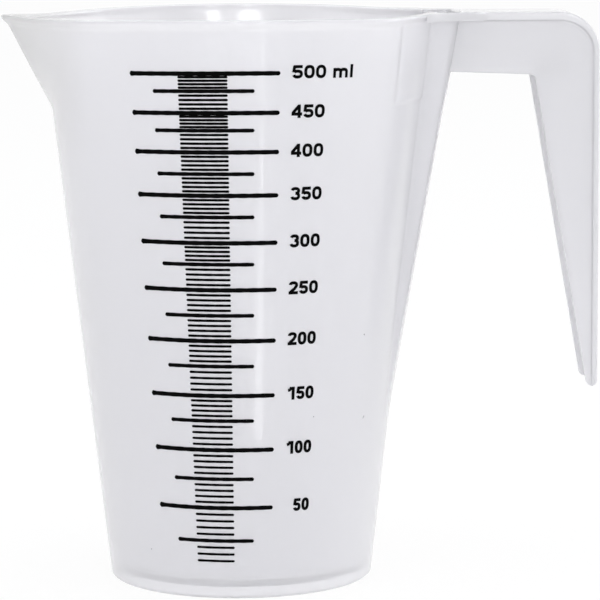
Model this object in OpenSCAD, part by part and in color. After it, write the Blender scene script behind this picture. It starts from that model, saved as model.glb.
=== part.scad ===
// Half-litre measuring jug in translucent plastic, with a printed scale.
// The origin is on the jug's axis at the height of the table. +Z is up, the handle points
// along +X, the spout along -X, and the scale faces -Y.

/* [Vessel] */
// Height of the top of the rim above the table
vessel_h = 133.3; // [128:0.1:150]
// Outside radius of the cone at the table
base_r = 30.9; // [30:0.1:34]
// Outside radius of the cone at the top of the rim
rim_r = 46; // [45:0.1:49]
// Thickness of the wall
wall_t = 1.3; // [1:0.05:1.6]
// Thickness of the floor
floor_t = 1.5; // [1:0.05:2.5]
// Rise of the floor's middle above its edge
floor_dome = 1; // [0.5:0.05:2]

/* [Foot] */
// Height of the hollow under the floor's edge
foot_h = 2.6; // [2:0.05:5]
// Thickness of the ring that the jug stands on
foot_t = 1.7; // [1.4:0.05:2.5]
// Radius of the ring's rounded outer edge
foot_edge_r = 1; // [0.5:0.05:1.2]

/* [Rim] */
// Height of the bead round the rim
bead_h = 1.5; // [1.2:0.05:2.5]
// How far the bead stands out from the wall
bead_out = 1.2; // [0.6:0.05:2]
// Width of the bead's softened edges
bead_edge = 0.35; // [0.2:0.05:0.5]

/* [Spout] */
// How far the nose of the spout stands out from the wall, under the bead
spout_out = 8.2; // [6:0.1:16]
// Height of the spout, from where it leaves the wall to the bead
spout_h = 20; // [14:0.1:40]
// Radius of the spout's nose, seen from above
nose_r = 3.8; // [2.5:0.1:6]

/* [Handle] */
// Distance from the axis to the outer face of the grip
handle_reach = 84; // [78:0.5:95]
// Width of the strap, across the jug
strap_w = 18.2; // [16:0.1:24]
// Thickness of the strap
strap_t = 1.8; // [1.2:0.05:2.4]
// Radius of the strap's outer corner
strap_corner_r = 9.2; // [5:0.1:11]
// How far the strap lies below the top of the rim
strap_drop = 0.1; // [0.05:0.05:0.9]
// Thickness of the two cheeks inside the strap
cheek_t = 1.3; // [1:0.05:2]
// How far the strap overhangs each cheek
cheek_inset = 0.6; // [0.6:0.05:2]
// Depth of the arm at the vessel, from the top of the strap
arm_depth = 13.8; // [10:0.1:18]
// How much deeper the arm is at the grip
arm_fall = 0.65; // [0:0.05:1]
// Depth of the grip just below the arm, from its outer face
grip_depth = 15.1; // [12:0.1:19]
// Height of the grip's free end above the table
tip_z = 45.4; // [30:0.5:70]
// Depth of the grip at its free end
tip_w = 2.7; // [2.6:0.05:4]
// Radius of the webs that spread the strap onto the rim
flare_r = 16; // [8:0.5:20]

/* [Handle root] */
// Height at which the hollow root leaves the wall
root_foot_z = 39; // [30:0.5:60]
// How far the root stands out from the wall at the top of the rim
root_out = 6.2; // [4:0.1:8]
// Thickness of the pads on the wall beside the root
pad_t = 0.4; // [0.3:0.05:0.7]
// Height of the pads below the bead
pad_h = 18.5; // [14:0.5:24]
// Angle from the handle to the far edge of each pad
pad_angle = 36; // [24:0.5:36]

/* [Stiffening web in the handle's corner] */
// Thickness of the web
web_t = 1; // [0.8:0.05:1.5]
// Length of the web, from the grip's inner edge
web_l = 8; // [6:0.5:9]
// Height of the web's turned-up end
web_h = 3.5; // [2:0.1:5]

/* [Scale] */
// Height of the highest line, as a share of the vessel's height
top_line_share = 0.912; // [0.8:0.0005:0.92]
// Thickness of the ink
ink_t = 0.1; // [0.05:0.01:0.2]
// Height of the lines at each 50 ml
line_50_h = 1; // [0.5:0.02:1]
// Height of the lines at each 25 ml
line_25_h = 0.86; // [0.4:0.02:0.9]
// Height of the lines at each 5 ml
line_5_h = 0.56; // [0.2:0.02:0.56]
// Height of the numbers
number_h = 3; // [2:0.05:4]
// Width of the numbers' strokes
stroke_w = 0.68; // [0.3:0.02:0.7]
// How far the numbers' middles stand above their lines
number_rise = 0.25; // [0:0.05:1]

/* [Hidden] */
$fn = 96;
overrun = 2;

// Vessel: the cone's outside radius at a height
taper = (rim_r - base_r) / vessel_h;
function wall_r(z) = base_r + taper * z;
lean = atan(taper);
floor_z = foot_h + floor_t;
floor_r = wall_r(floor_z) - wall_t;
bead_z = vessel_h - bead_h;
dome_steps = 8;

// Spout: where its foot is cut flat, how finely it is drawn and how its rows are spaced
spout_first = 0.3;
spout_rows = 9;
nose_steps = 8;
spout_foot_z = bead_z - spout_h;
spout_first_z = spout_foot_z + spout_first;

// Handle
strap_top = vessel_h - strap_drop;
strap_under = strap_top - strap_t;
strap_inner = handle_reach - strap_t;
strap_inner_r = strap_corner_r - strap_t;
cheek_y = strap_w / 2 - cheek_inset;
arm_z = strap_top - arm_depth;
knee_x = handle_reach - grip_depth;
knee_z = arm_z - arm_fall;
grip_turn_steps = 12;

// Handle root: its outer face is part of a cone that opens faster than the wall does
root_lean = (wall_r(vessel_h) + root_out - wall_r(root_foot_z)) / (vessel_h - root_foot_z);
function root_r(z) = wall_r(root_foot_z) + root_lean * (z - root_foot_z);
root_inner_y = strap_w / 2 - wall_t;

// Scale: angles are in degrees round the axis, from the jug's front towards the handle
line_50_angles = [-33.2, 12.2];
line_25_angles = [-25.7, 4.9];
line_5_angles = [-17.9, -2.9];
number_right_angle = 25.95;
number_drift_angle = 2;
digit_pitch_angle = 3.6;
digit_angle = 3.2;
m_angles = [28.3, 33.2];
l_angles = [34, 35];
small_letter_share = 0.74;
glyph_steps = 10;

// The bands of 25 ml get thinner as the cone gets wider, in these shares of the height between
// the floor and the highest line.
top_number = 500;
band_shares = [10, 8, 7, 7, 7, 6, 7, 6, 6, 6, 6, 5, 6, 5, 5, 5, 5, 4, 5, 4];
bands = len(band_shares);
marks_per_band = 5;
lowest_mark = 2;
// Marks under the lowest line of 25 ml stand closer than the height of that band would give
low_marks_share = 0.82;
function sum_to(shares, n) = n <= 0 ? 0 : shares[n - 1] + sum_to(shares, n - 1);
full_z = vessel_h * top_line_share;
function band_z(n) = floor_z + (full_z - floor_z) * sum_to(band_shares, n) / sum_to(band_shares, bands);
function band_start_z(n) =
    n > 0 ? band_z(n) : band_z(1) * (1 - low_marks_share) + floor_z * low_marks_share;
function mark_z(n) =
    let (band = floor(n / marks_per_band), part = n / marks_per_band - band)
    band_start_z(band) * (1 - part) + (part > 0 ? band_z(band + 1) * part : 0);

module plastic() {
    color([0.86, 0.87, 0.9]) children();
}

module ink() {
    color([0.05, 0.05, 0.06]) children();
}

// The solid cone inside the wall's outer face, from one height to another
module cone_solid(low, high) {
    translate([0, 0, low]) cylinder(h = high - low, r1 = wall_r(low), r2 = wall_r(high));
}

// A slab across the jug, from an outline in X and Z
module slab(from_y, to_y) {
    translate([0, to_y, 0]) rotate([90, 0, 0]) linear_extrude(height = to_y - from_y) children();
}

// Foot: a ring with a rounded outer edge
module foot_ring() {
    centre = [wall_r(foot_edge_r) - foot_edge_r, foot_edge_r];
    edge = [for (i = [0:dome_steps]) let (a = -90 + 90 * i / dome_steps)
        centre + foot_edge_r * [cos(a), sin(a)]];
    plastic() rotate_extrude()
        polygon(concat([[wall_r(0) - foot_t, foot_h], [wall_r(0) - foot_t, 0]], edge,
            [[wall_r(foot_h), foot_h]]));
}

// Floor: a disc that rises to a low dome
module vessel_floor() {
    edge_r = wall_r(foot_h) - wall_t;
    top = [for (i = [0:dome_steps]) let (s = i / dome_steps)
        [floor_r * s, floor_z + floor_dome * (1 - s * s)]];
    under = [for (i = [0:dome_steps]) let (s = 1 - i / dome_steps)
        [edge_r * s, foot_h + floor_dome * (1 - s * s)]];
    plastic() rotate_extrude() polygon(concat(top, under));
}

// Wall: a cone with a notch for the spout and a slot for the handle's hollow root
module vessel_wall() {
    plastic() difference() {
        rotate_extrude() polygon([[wall_r(foot_h) - wall_t, foot_h], [wall_r(foot_h), foot_h],
            [wall_r(bead_z), bead_z], [wall_r(bead_z) - wall_t, bead_z]]);
        spout_notch();
        root_hollow();
    }
}

// Bead: its two halves run from the spout to the root
module rim_bead(side) {
    out_r = wall_r(bead_z) + bead_out;
    span = 180 - spout_tangent(bead_z);
    plastic() difference() {
        rotate([0, 0, side > 0 ? 0 : -span]) rotate_extrude(angle = span)
            polygon([[wall_r(bead_z) - wall_t, bead_z], [out_r - bead_edge, bead_z],
                [out_r, bead_z + bead_edge], [out_r, vessel_h - bead_edge],
                [out_r - bead_edge, vessel_h], [wall_r(vessel_h) - wall_t, vessel_h]]);
        beside_axis(-strap_w / 2, strap_w / 2);
    }
}

module rim_bead_front() {
    rim_bead(-1);
}

module rim_bead_back() {
    rim_bead(1);
}

// Spout: at each height its plan is two lines from the wall's circle to a round nose
function spout_x(z) = wall_r(spout_foot_z)
    + (wall_r(bead_z) + spout_out - wall_r(spout_foot_z)) * (z - spout_foot_z) / spout_h;
function spout_centre(z) = spout_x(min(z, bead_z)) - nose_r;
function spout_tangent(z) = acos((wall_r(min(z, bead_z)) - nose_r) / spout_centre(z));
function spout_plan(z, grow) =
    let (t = spout_tangent(z), body = wall_r(min(z, bead_z)) + grow, nose = nose_r + grow)
    concat([body * [-cos(t), sin(t)]],
        [for (i = [0:nose_steps]) let (a = t * (1 - 2 * i / nose_steps))
            [-spout_centre(z) - nose * cos(a), nose * sin(a)]],
        [body * [-cos(t), -sin(t)]]);

// A shell between an outer and an inner plan, row by row. Each row is a height and the outer
// plan's growth; the inner plan lies one wall inside.
module spout_shell(rows) {
    n = nose_steps + 3;
    points = [for (row = rows) each concat(
        [for (p = spout_plan(row[0], row[1])) [p[0], p[1], row[0]]],
        [for (p = spout_plan(row[0], -wall_t)) [p[0], p[1], row[0]]])];
    last = len(rows) - 1;
    sides = [for (j = [0:last - 1], i = [0:n - 2]) let (a = 2 * n * j + i, b = a + 2 * n)
        each [[a, b, a + 1], [b, b + 1, a + 1], [a + n, a + n + 1, b + n], [b + n, a + n + 1, b + n + 1]]];
    ends = [for (j = [0:last - 1]) let (a = 2 * n * j, b = a + 2 * n, c = a + n - 1, d = c + 2 * n)
        each [[a, a + n, b], [a + n, b + n, b], [c, d, c + n], [d, d + n, c + n]]];
    under = [for (i = [0:n - 2]) each [[i, i + 1, i + n], [i + 1, i + n + 1, i + n]]];
    top = [for (i = [0:n - 2]) let (a = 2 * n * last + i)
        each [[a, a + n, a + 1], [a + 1, a + n, a + n + 1]]];
    polyhedron(points = points, faces = concat(sides, ends, under, top));
}

module pouring_spout() {
    rows = [for (j = [0:spout_rows]) let (s = j / spout_rows)
        [spout_first_z + (bead_z - spout_first_z) * s * s, 0]];
    plastic() spout_shell(rows);
}

module spout_lip() {
    plastic() spout_shell([[bead_z, bead_out - bead_edge], [bead_z + bead_edge, bead_out],
        [vessel_h - bead_edge, bead_out], [vessel_h, bead_out - bead_edge]]);
}

// The part of the wall that the spout takes the place of
module spout_notch() {
    rows = concat([for (j = [0:spout_rows]) let (s = j / spout_rows)
        spout_first_z + (bead_z - spout_first_z) * s * s], [bead_z + overrun]);
    points = [for (z = rows) let (t = spout_tangent(z), near = wall_r(z) - wall_t - overrun,
            far = wall_r(z) + overrun)
        each [[-near * cos(t), near * sin(t), z], [-far, far * tan(t), z],
            [-far, -far * tan(t), z], [-near * cos(t), -near * sin(t), z]]];
    last = len(rows) - 1;
    sides = [for (j = [0:last - 1], i = [0:3]) let (a = 4 * j + i, b = 4 * j + (i + 1) % 4)
        each [[a, a + 4, b], [a + 4, b + 4, b]]];
    polyhedron(points = points, faces = concat(sides, [[0, 1, 2], [0, 2, 3]],
        [[4 * last, 4 * last + 2, 4 * last + 1], [4 * last, 4 * last + 3, 4 * last + 2]]));
}

// Handle root: two cheeks and a skin, which make a channel that is open to the inside
// Its cones start inside the wall, and meet the wall's own cones at the root's foot.
root_low_z = root_foot_z - overrun;

module root_cone(less) {
    high = vessel_h + overrun;
    translate([0, 0, root_low_z])
        cylinder(h = high - root_low_z, r1 = root_r(root_low_z) - less, r2 = root_r(high) - less);
}

// The handle's half of the space between two planes
module beside_axis(from_y, to_y) {
    translate([0, from_y, 0]) cube([handle_reach, to_y - from_y, vessel_h + 2 * overrun]);
}

module root_hollow() {
    intersection() {
        root_cone(wall_t);
        beside_axis(-root_inner_y, root_inner_y);
    }
}

// What the root leaves to the wall, and above it to the mouth
module root_inside() {
    cone_solid(0, bead_z);
    translate([0, 0, bead_z])
        cylinder(h = bead_h + 2 * overrun, r1 = wall_r(bead_z) - wall_t,
            r2 = wall_r(vessel_h + 2 * overrun) - wall_t);
}

// The cone of the root's outer face, without its overrun over the rim
module root_body() {
    intersection() {
        root_cone(0);
        cylinder(h = vessel_h, r = handle_reach);
    }
}

module root_cheek(side) {
    low_y = side > 0 ? root_inner_y : -strap_w / 2;
    plastic() difference() {
        intersection() {
            root_body();
            beside_axis(low_y, low_y + wall_t);
        }
        root_inside();
    }
}

module root_cheek_front() {
    root_cheek(-1);
}

module root_cheek_back() {
    root_cheek(1);
}

module root_skin() {
    plastic() difference() {
        intersection() {
            root_body();
            beside_axis(-root_inner_y, root_inner_y);
        }
        root_cone(wall_t);
        root_inside();
    }
}

// Pads: thin plates on the wall beside the root, under the bead
module root_pad(side) {
    low = bead_z - pad_h;
    start = side > 0 ? 0 : -pad_angle;
    plastic() difference() {
        rotate([0, 0, start]) rotate_extrude(angle = pad_angle)
            polygon([[wall_r(low), low], [wall_r(low) + pad_t, low],
                [wall_r(bead_z) + pad_t, bead_z], [wall_r(bead_z), bead_z]]);
        translate([0, -strap_w / 2, low - overrun])
            cube([rim_r + overrun, strap_w, pad_h + 2 * overrun]);
    }
}

module root_pad_front() {
    root_pad(-1);
}

module root_pad_back() {
    root_pad(1);
}

// Webs: they spread the strap onto the bead with a hollow curve
module strap_flare(side) {
    ring_r = wall_r(bead_z) + bead_out;
    low_y = strap_w / 2;
    centre = [sqrt(pow(ring_r + flare_r, 2) - pow(low_y + flare_r, 2)), low_y + flare_r];
    turn = atan2(centre[1], centre[0]);
    start_x = sqrt(pow(ring_r, 2) - pow(low_y, 2)) - bead_out;
    hollow = [for (i = [0:grip_turn_steps]) let (a = 270 - (90 - turn) * i / grip_turn_steps)
        centre + flare_r * [cos(a), sin(a)]];
    inside = (ring_r - bead_out) * [cos(turn), sin(turn)];
    mirror([0, side > 0 ? 0 : 1, 0]) plastic() difference() {
        translate([0, 0, strap_under]) linear_extrude(height = strap_t)
            polygon(concat([[start_x, low_y]], hollow, [inside]));
        translate([0, 0, strap_under - overrun])
            cylinder(h = strap_t + 2 * overrun, r = ring_r);
    }
}

module strap_flare_front() {
    strap_flare(-1);
}

module strap_flare_back() {
    strap_flare(1);
}

// The handle's side view: the whole hook, with a round corner and a round free end
function corner(r) = [for (i = [0:grip_turn_steps]) let (a = 90 - 90 * i / grip_turn_steps)
    [handle_reach - strap_corner_r, strap_top - strap_corner_r] + r * [cos(a), sin(a)]];

module hook_outline(from_x) {
    end_r = tip_w / 2;
    free_end = [for (i = [0:grip_turn_steps]) let (a = -180 * i / grip_turn_steps)
        [handle_reach - end_r, tip_z + end_r] + end_r * [cos(a), sin(a)]];
    root_z = arm_z + arm_fall * (root_r(arm_z) - from_x) / (knee_x - root_r(arm_z));
    polygon(concat([[from_x, root_z], [from_x, strap_top]], corner(strap_corner_r), free_end,
        [[knee_x, knee_z]]));
}

// What lies under the strap
module strap_inside() {
    polygon(concat([[0, 0], [0, strap_under]], corner(strap_inner_r), [[strap_inner, 0]]));
}

module handle_strap() {
    plastic() difference() {
        slab(-strap_w / 2, strap_w / 2) difference() {
            hook_outline(rim_r);
            strap_inside();
        }
        root_cone(0);
    }
}

module handle_cheek(side) {
    low_y = side > 0 ? cheek_y - cheek_t : -cheek_y;
    plastic() difference() {
        slab(low_y, low_y + cheek_t) intersection() {
            hook_outline(rim_r);
            strap_inside();
        }
        root_cone(0);
    }
}

module handle_cheek_front() {
    handle_cheek(-1);
}

module handle_cheek_back() {
    handle_cheek(1);
}

// Web: an angle between the cheeks, level with the arm's lower edge
module corner_web() {
    half = cheek_y - cheek_t;
    plastic() slab(-half, half)
        polygon([[knee_x, knee_z], [knee_x + web_l, knee_z], [knee_x + web_l, knee_z + web_h],
            [knee_x + web_l - web_t, knee_z + web_h], [knee_x + web_l - web_t, knee_z + web_t],
            [knee_x, knee_z + web_t]]);
}

// Printed lines: thin strips on the cone
module printed_line(z, h, angles) {
    low = z - h / 2;
    high = z + h / 2;
    rotate([0, 0, angles[0] - 90]) rotate_extrude(angle = angles[1] - angles[0])
        polygon([[wall_r(low), low], [wall_r(low) + ink_t, low],
            [wall_r(high) + ink_t, high], [wall_r(high), high]]);
}

module lines_50_ml() {
    ink() for (n = [2:2:bands]) printed_line(band_z(n), line_50_h, line_50_angles);
}

module lines_25_ml() {
    ink() for (n = [1:2:bands - 1]) printed_line(band_z(n), line_25_h, line_25_angles);
}

module lines_5_ml() {
    ink() for (n = [lowest_mark:bands * marks_per_band - 1])
        if (n % marks_per_band != 0) printed_line(mark_z(n), line_5_h, line_5_angles);
}

// Figures: strokes made of bars and of parts of ellipses, in a cell of width w and height h
module bar(a, b) {
    along = (b - a) / norm(b - a) * stroke_w / 2;
    side = [-along[1], along[0]];
    polygon([a + side, b + side, b - side, a - side]);
}

function ellipse(centre, radii, from, to) = [for (i = [0:glyph_steps])
    let (a = from + (to - from) * i / glyph_steps) centre + [radii[0] * cos(a), radii[1] * sin(a)]];

module bow(centre, radii, from, to) {
    half = [stroke_w, stroke_w] / 2;
    turned = ellipse(centre, radii - half, to, from);
    polygon(concat(ellipse(centre, radii + half, from, to), turned));
}

module figure_0(w, h) {
    middle = [w, h] / 2;
    radii = middle - [stroke_w, stroke_w] / 2;
    bow(middle, radii, 0, 180);
    bow(middle, radii, 180, 360);
}

module figure_1(w, h) {
    s = stroke_w / 2;
    flag_shares = [0.2, 0.72];
    bar([w / 2 + s, 0], [w / 2 + s, h]);
    bar([w / 2 + s, h - s], [w * flag_shares[0], h * flag_shares[1]]);
}

module figure_2(w, h) {
    s = stroke_w / 2;
    bowl_share = 0.3;
    radii = [w / 2 - s, h * bowl_share - s];
    centre = [w / 2, h - h * bowl_share];
    turn = -38;
    foot_share = 0.8;
    foot = [stroke_w, stroke_w] * foot_share;
    bow(centre, radii, 172, turn);
    bar(centre + [radii[0] * cos(turn), radii[1] * sin(turn)], foot);
    bar([0, s], [w, s]);
}

module figure_3(w, h) {
    s = stroke_w / 2;
    upper_share = 0.27;
    lower_share = 0.29;
    bow([w / 2, h - h * upper_share], [w / 2 - s, h * upper_share - s], 165, -90);
    bow([w / 2, h * lower_share], [w / 2 - s, h * lower_share - s], 90, -165);
}

module figure_4(w, h) {
    s = stroke_w / 2;
    stem_share = 0.72;
    shelf_share = 0.3;
    bar([w * stem_share, 0], [w * stem_share, h]);
    bar([0, h * shelf_share], [w, h * shelf_share]);
    bar([s, h * shelf_share], [w * stem_share, h - s]);
}

module figure_5(w, h) {
    s = stroke_w / 2;
    bowl_share = 0.33;
    left_share = 0.16;
    bow([w / 2, h * bowl_share], [w / 2 - s, h * bowl_share - s], 128, -160);
    bar([w * left_share, h - s], [w, h - s]);
    bar([w * left_share + s, h], [s, h / 2 - s]);
}

module letter_m(w, h) {
    s = stroke_w / 2;
    radii = [(w - stroke_w) / 4, h / 3];
    for (i = [0:2]) bar([s + i * 2 * radii[0], 0], [s + i * 2 * radii[0], h - radii[1] * (i > 0 ? 1 : 0)]);
    for (i = [0:1]) bow([s + (2 * i + 1) * radii[0], h - radii[1] - s], radii, 0, 180);
}

module letter_l(w, h) {
    bar([w / 2, 0], [w / 2, h]);
}

module figure(digit, w, h) {
    if (digit == "0") figure_0(w, h);
    if (digit == "1") figure_1(w, h);
    if (digit == "2") figure_2(w, h);
    if (digit == "3") figure_3(w, h);
    if (digit == "4") figure_4(w, h);
    if (digit == "5") figure_5(w, h);
}

// Ink in the shape of a flat outline, laid on the cone. The outline's lower left corner is at
// the angle and the height.
module on_wall(angle, z) {
    intersection() {
        rotate([0, 0, angle]) translate([0, -wall_r(z), z]) rotate([90 + lean, 0, 0])
            translate([0, 0, -overrun]) linear_extrude(height = 2 * overrun) children();
        difference() {
            rotate_extrude() polygon([[0, z - number_h], [wall_r(z - number_h) + ink_t, z - number_h],
                [wall_r(z + 2 * number_h) + ink_t, z + 2 * number_h], [0, z + 2 * number_h]]);
            cone_solid(z - 2 * number_h, z + 3 * number_h);
        }
    }
}

function arc_length(angle, z) = wall_r(z) * angle * PI / 180;

module number_at(value) {
    text_value = str(value);
    line_z = band_z(bands * value / top_number);
    low = line_z + number_rise - number_h / 2;
    right = number_right_angle + number_drift_angle * (full_z - line_z) / (full_z - floor_z);
    w = arc_length(digit_angle, line_z);
    ink() for (i = [0:len(text_value) - 1])
        on_wall(right - digit_angle / 2 - digit_pitch_angle * (len(text_value) - 1 - i), low)
            translate([-w / 2, 0]) figure(text_value[i], w, number_h);
}

module unit_ml() {
    low = full_z + number_rise - number_h / 2;
    m_w = arc_length(m_angles[1] - m_angles[0], low);
    l_w = arc_length(l_angles[1] - l_angles[0], low);
    ink() on_wall((m_angles[0] + m_angles[1]) / 2, low)
        translate([-m_w / 2, 0]) letter_m(m_w, number_h * small_letter_share);
    ink() on_wall((l_angles[0] + l_angles[1]) / 2, low)
        translate([-l_w / 2, 0]) letter_l(l_w, number_h);
}

foot_ring();
vessel_floor();
vessel_wall();
rim_bead_front();
rim_bead_back();
pouring_spout();
spout_lip();
root_cheek_front();
root_cheek_back();
root_skin();
root_pad_front();
root_pad_back();
strap_flare_front();
strap_flare_back();
handle_strap();
handle_cheek_front();
handle_cheek_back();
corner_web();
lines_50_ml();
lines_25_ml();
lines_5_ml();
number_at(500);  // number_500
number_at(450);  // number_450
number_at(400);  // number_400
number_at(350);  // number_350
number_at(300);  // number_300
number_at(250);  // number_250
number_at(200);  // number_200
number_at(150);  // number_150
number_at(100);  // number_100
number_at(50);  // number_50
unit_ml();
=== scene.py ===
"""A half-litre measuring jug in milky plastic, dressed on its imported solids.

The vessel, its foot, bead, spout and the handle's hollow root are one moulding, so one closed
surface stands for them. The handle's hook, its corner web and the two webs on the bead are pieces
of their own, and so are the printed lines and numbers.
"""

import logging
import math
from dataclasses import dataclass, field, replace
from enum import Enum

import bpy
import numpy as np
from mathutils import Matrix, Vector


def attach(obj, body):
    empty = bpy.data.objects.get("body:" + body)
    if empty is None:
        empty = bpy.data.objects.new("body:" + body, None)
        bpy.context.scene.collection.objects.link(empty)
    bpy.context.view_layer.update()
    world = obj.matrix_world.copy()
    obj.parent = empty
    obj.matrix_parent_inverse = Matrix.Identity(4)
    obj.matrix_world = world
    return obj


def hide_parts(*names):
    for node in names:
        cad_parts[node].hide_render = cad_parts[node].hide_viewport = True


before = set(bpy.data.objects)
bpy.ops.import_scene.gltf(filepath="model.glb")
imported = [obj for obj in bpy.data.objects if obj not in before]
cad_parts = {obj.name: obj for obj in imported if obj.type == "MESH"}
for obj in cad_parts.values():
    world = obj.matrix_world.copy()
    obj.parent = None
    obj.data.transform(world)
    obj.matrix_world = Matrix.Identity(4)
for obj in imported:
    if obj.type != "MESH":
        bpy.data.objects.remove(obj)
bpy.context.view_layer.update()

Array = np.ndarray
Faces = list[tuple[int, ...]]
Material = bpy.types.Material
Node = bpy.types.Node
Piece = bpy.types.Object
Place = tuple[float, ...]  # shares of a cell's width and height, then of half a stroke's width for both
Socket = bpy.types.NodeSocket
Tree = bpy.types.NodeTree

LOG = logging.getLogger("measuring_jug")
MM = 0.001
TURNED = 0.3  # a face counts as turned a way from this part of its normal along it
DEGREE = math.pi / 180
WHITE_LIGHT = {"Color": (1.0, 1.0, 1.0, 1.0), "Strength": 1.0}


class Slot(Enum):
    """The record's material slots."""

    PLASTIC = "pp"
    INK = "ink"


@dataclass(frozen=True)
class JugSizes:
    """The jug's sizes in millimetres: those of its solids, and what only the scene has."""

    vessel_h: float = 133.3
    base_r: float = 30.9
    rim_r: float = 46.0
    wall_t: float = 1.3
    floor_t: float = 1.5
    floor_dome: float = 1.0
    foot_h: float = 2.6
    foot_t: float = 1.7
    foot_edge_r: float = 1.0
    bead_h: float = 1.5
    bead_out: float = 1.2
    spout_out: float = 8.2
    spout_h: float = 20.0
    nose_r: float = 3.8
    handle_reach: float = 84.0
    strap_w: float = 18.2
    strap_corner_r: float = 9.2
    strap_drop: float = 0.1
    cheek_t: float = 1.3
    cheek_inset: float = 0.6
    arm_depth: float = 13.8
    arm_fall: float = 0.65
    grip_depth: float = 15.1
    tip_z: float = 45.4
    tip_w: float = 2.7
    flare_r: float = 16.0
    root_foot_z: float = 39.0
    root_out: float = 6.2
    pad_t: float = 0.4
    collar_t: float = 0.18
    pad_h: float = 18.5
    pad_angle: float = 36.0
    web_t: float = 1.0
    web_l: float = 8.0
    web_h: float = 3.5
    top_line_share: float = 0.912
    rim_dip: float = 0.85
    root_soft: float = 0.16
    spout_soft: float = 0.3

    @property
    def bead_z(self) -> float:
        """Height of the bead's underside."""
        return self.vessel_h - self.bead_h

    @property
    def floor_z(self) -> float:
        """Height of the floor's upper edge."""
        return self.foot_h + self.floor_t

    @property
    def floor_r(self) -> float:
        """Radius of the floor's upper edge."""
        return self.cone_r(self.floor_z) - self.wall_t

    def wall_r(self, z: Array) -> Array:
        """The outer cone: the base radius plus the taper times the height."""
        return self.base_r + (self.rim_r - self.base_r) / self.vessel_h * z

    def cone_r(self, z: float) -> float:
        """The outer cone's radius at one height."""
        return float(self.wall_r(np.array(z)))

    def dome(self, r: float, edge_r: float) -> float:
        """How high the floor's dome stands at a radius."""
        return self.floor_dome * (1 - (r / edge_r) ** 2)

    def root_rise(self, z: Array) -> Array:
        """How far the handle's root stands out: a ramp from its foot."""
        ramp = self.root_out * (z - self.root_foot_z) / (self.vessel_h - self.root_foot_z)
        return soft_ramp(ramp, self.root_soft)

    def spout_rise(self, z: Array) -> Array:
        """How far the spout's nose stands out: a ramp from its foot up to the bead."""
        ramp = self.spout_out * (np.minimum(z, self.bead_z) - self.bead_z + self.spout_h) / self.spout_h
        return soft_ramp(ramp, self.spout_soft)


def soft_ramp(ramp: Array, soft: float) -> Array:
    """Half the sum of the ramp and the root of its square plus the square of how soft it starts."""
    return 0.5 * (ramp + np.sqrt(ramp**2 + soft**2))


def smooth_step(x: Array) -> Array:
    """Rises from 0 to 1 with level ends: three x squared less two x cubed, for x from 0 to 1."""
    x = np.clip(x, 0.0, 1.0)
    return x * x * (3.0 - 2.0 * x)


def settled(points: Array, sizes: JugSizes) -> Array:
    """Lets the rim sink a little at its two ends, as it does when a thin moulding cools.

    The sinking is the dip times the square of the cosine of the angle round the axis. It fades
    from the rim down to half height, along the spout's nose and over the handle's root.

    Args:
        points: points in millimetres.
        sizes: the jug's sizes.

    Returns:
        The moved points.
    """
    x, y, z = points.T
    held_by_spout = 0.6
    arm_starts = 14
    along = x**2 / np.maximum(x**2 + y**2, 1e-9)
    high = smooth_step((z - sizes.vessel_h / 2) / (sizes.vessel_h / 2))
    spout = held_by_spout * smooth_step((-x - sizes.rim_r) / (sizes.spout_out + sizes.bead_out))
    arm = smooth_step((x - sizes.rim_r + arm_starts) / arm_starts)
    sunk = sizes.rim_dip * along * high * (1 - spout) * (1 - arm)
    return np.stack([x, y, z - sunk], axis=1)


def spans(*stops: float, steps: tuple[int, ...]) -> Array:
    """Even steps between the stops, each stretch with its own count, and each stop once."""
    parts = [np.linspace(a, b, n, endpoint=False) for a, b, n in zip(stops[:-1], stops[1:], steps)]
    return np.concatenate(parts + [np.array([stops[-1]])])


def on_circle(angle: Array) -> Array:
    """Points on a circle of radius 1."""
    return np.stack([np.cos(angle), np.sin(angle)], axis=-1)


def round_trip(values: Array, back: float = 1.0) -> Array:
    """Values along the last axis and back to beside the first, times a factor on the way back."""
    return np.concatenate([values, back * values[..., -2:0:-1]], axis=-1)


def ring_faces(rows: int, columns: int, looped: bool = False) -> Faces:
    """Quads between the rows of a grid whose columns close into a ring.

    Args:
        rows: the number of rows.
        columns: the number of points in a row.
        looped: whether the last row joins the first.

    Returns:
        The faces, as rows of indices.
    """
    row = np.arange(rows if looped else rows - 1)[:, None] * columns
    here = np.arange(columns)
    there = (here + 1) % columns
    quads = np.stack([row + here, row + there, row + columns + there, row + columns + here], axis=-1)
    return [tuple(f) for f in (quads.reshape(-1, 4) % (rows * columns)).tolist()]


def signed_volume(points: Array, faces: Faces) -> float:
    """Sum over the faces' fans of triangles of a . (b x c) / 6.

    Args:
        points: the points.
        faces: the faces, as rows of indices.

    Returns:
        The volume, positive where the faces point outwards.
    """
    fans = [(f[0], f[k], f[k + 1]) for f in faces for k in range(1, len(f) - 1)]
    a, b, c = (points[np.array(fans)[:, k]] for k in range(3))
    return float(np.einsum("ij,ij->i", a, np.cross(b, c)).sum() / 6.0)


def new_object(name: str, data: object) -> Piece:
    """Makes an object from its data and adds it to the scene.

    Args:
        name: the object's name.
        data: its mesh, lamp or camera.

    Returns:
        The object.
    """
    made = bpy.data.objects.new(name, data)
    bpy.context.scene.collection.objects.link(made)
    return made


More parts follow.
